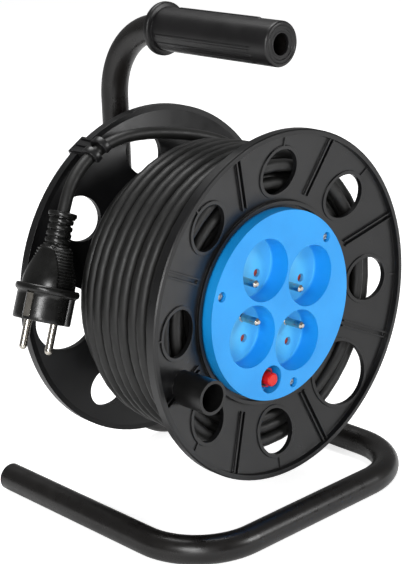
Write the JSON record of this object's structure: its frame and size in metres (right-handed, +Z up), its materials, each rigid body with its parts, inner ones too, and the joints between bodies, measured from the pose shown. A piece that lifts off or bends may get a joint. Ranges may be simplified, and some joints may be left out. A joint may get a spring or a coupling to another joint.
{
  "type": "extension cord reel",
  "caption": "Extension cord reel: cord wound on a black drum with round earthed sockets in a blue face, on a bent tube stand with a carrying grip.",
  "frame": {"origin": "middle of the stand's and drum's footprint, on the floor", "axes": "+Z up, the sockets face -Y, +X to the right when facing the sockets"},
  "size_m": [0.2455, 0.2, 0.32],
  "materials": {
    "tube_paint": "semi-gloss black powder coat",
    "grip_plastic": "moulded black, fine grain",
    "drum_plastic": "moulded black, satin",
    "knob_plastic": "moulded black, matt",
    "panel_blue": "moulded blue, satin",
    "shutter_red": "moulded red",
    "reset_red": "moulded red, glossy",
    "housing_plastic": "moulded pale grey",
    "cutout_plastic": "moulded black",
    "gland_plastic": "moulded dark grey",
    "bush_plastic": "moulded white acetal",
    "zinc_steel": "zinc plated",
    "nickel": "nickel plated",
    "brass": "stamped, bare",
    "cord_rubber": "extruded black jacket",
    "plug_rubber": "moulded black",
    "wire_brown": "brown insulation",
    "wire_blue": "blue insulation",
    "wire_green": "green and yellow insulation"
  },
  "bodies": {
    "stand": {"frame_tube": "tube_paint", "handle_grip": "grip_plastic", "tube_end_cap": "grip_plastic", "spindle": "zinc_steel", "spindle_saddle_front": "grip_plastic", "spindle_saddle_rear": "grip_plastic", "spindle_nut": "zinc_steel", "retainer_washer": "zinc_steel", "retainer_screw": "zinc_steel"},
    "drum": {"front_flange": "drum_plastic", "rear_flange": "drum_plastic", "drum_core": "drum_plastic", "hub_bush_front": "bush_plastic", "hub_bush_rear": "bush_plastic", "panel_screws": "zinc_steel", "core_screws_front": "zinc_steel", "core_screws_rear": "zinc_steel", "socket_panel": "panel_blue", "socket_housing": "housing_plastic", "housing_screws": "zinc_steel", "earth_pin_upper_right": "nickel", "earth_pin_upper_left": "nickel", "earth_pin_lower_left": "nickel", "earth_pin_lower_right": "nickel", "live_strip": "brass", "neutral_strip": "brass", "earth_strip": "brass", "thermal_cutout": "cutout_plastic", "reset_nut": "reset_red", "knob_pin": "knob_plastic", "cord_gland": "gland_plastic", "gland_nut": "gland_plastic", "cord_inner_end": "cord_rubber", "live_wire": "wire_brown", "neutral_wire": "wire_blue", "earth_wire": "wire_green", "cutout_wire": "wire_brown", "cable_coil": "cord_rubber", "cable_tail": "cord_rubber", "plug_body": "plug_rubber", "plug_earth_strips": "nickel", "plug_pin_1": "nickel", "plug_pin_2": "nickel", "plug_boot": "plug_rubber", "cable_clip": "drum_plastic"},
    "winding_knob": {"winding_knob": "knob_plastic"},
    "reset_button": {"reset_button": "reset_red"},
    "shutter_upper_right": {"shutter_upper_right": "shutter_red"},
    "shutter_upper_left": {"shutter_upper_left": "shutter_red"},
    "shutter_lower_left": {"shutter_lower_left": "shutter_red"},
    "shutter_lower_right": {"shutter_lower_right": "shutter_red"}
  },
  "joints": [
    {"name": "drum_spin", "type": "hinge", "parent": "stand", "child": "drum", "pos_m": [0, -0.009, 0.14], "axis": [0, 1, 0], "continuous": true},
    {"name": "winding_knob_spin", "type": "hinge", "parent": "drum", "child": "winding_knob", "pos_m": [-0.08269, -0.077, 0.1099], "axis": [0, 1, 0], "continuous": true},
    {"name": "reset_press", "type": "slide", "parent": "drum", "child": "reset_button", "axis": [0, 1, 0], "range_m": [0, 0.0025], "stiffness_N_per_m": 800, "springref_m": -0.002},
    {"name": "shutter_upper_right_turn", "type": "hinge", "parent": "drum", "child": "shutter_upper_right", "pos_m": [0.02621, -0.0485, 0.15335], "axis": [0, 1, 0], "range_deg": [0, 42], "stiffness_Nm_per_rad": 0.003, "springref_deg": -28.65},
    {"name": "shutter_upper_left_turn", "type": "hinge", "parent": "drum", "child": "shutter_upper_left", "pos_m": [-0.01335, -0.0485, 0.16621], "axis": [0, 1, 0], "range_deg": [0, 42], "stiffness_Nm_per_rad": 0.003, "springref_deg": -28.65},
    {"name": "shutter_lower_left_turn", "type": "hinge", "parent": "drum", "child": "shutter_lower_left", "pos_m": [-0.02621, -0.0485, 0.12665], "axis": [0, 1, 0], "range_deg": [0, 42], "stiffness_Nm_per_rad": 0.003, "springref_deg": -28.65},
    {"name": "shutter_lower_right_turn", "type": "hinge", "parent": "drum", "child": "shutter_lower_right", "pos_m": [0.01335, -0.0485, 0.11379], "axis": [0, 1, 0], "range_deg": [0, 42], "stiffness_Nm_per_rad": 0.003, "springref_deg": -28.65}
  ]
}
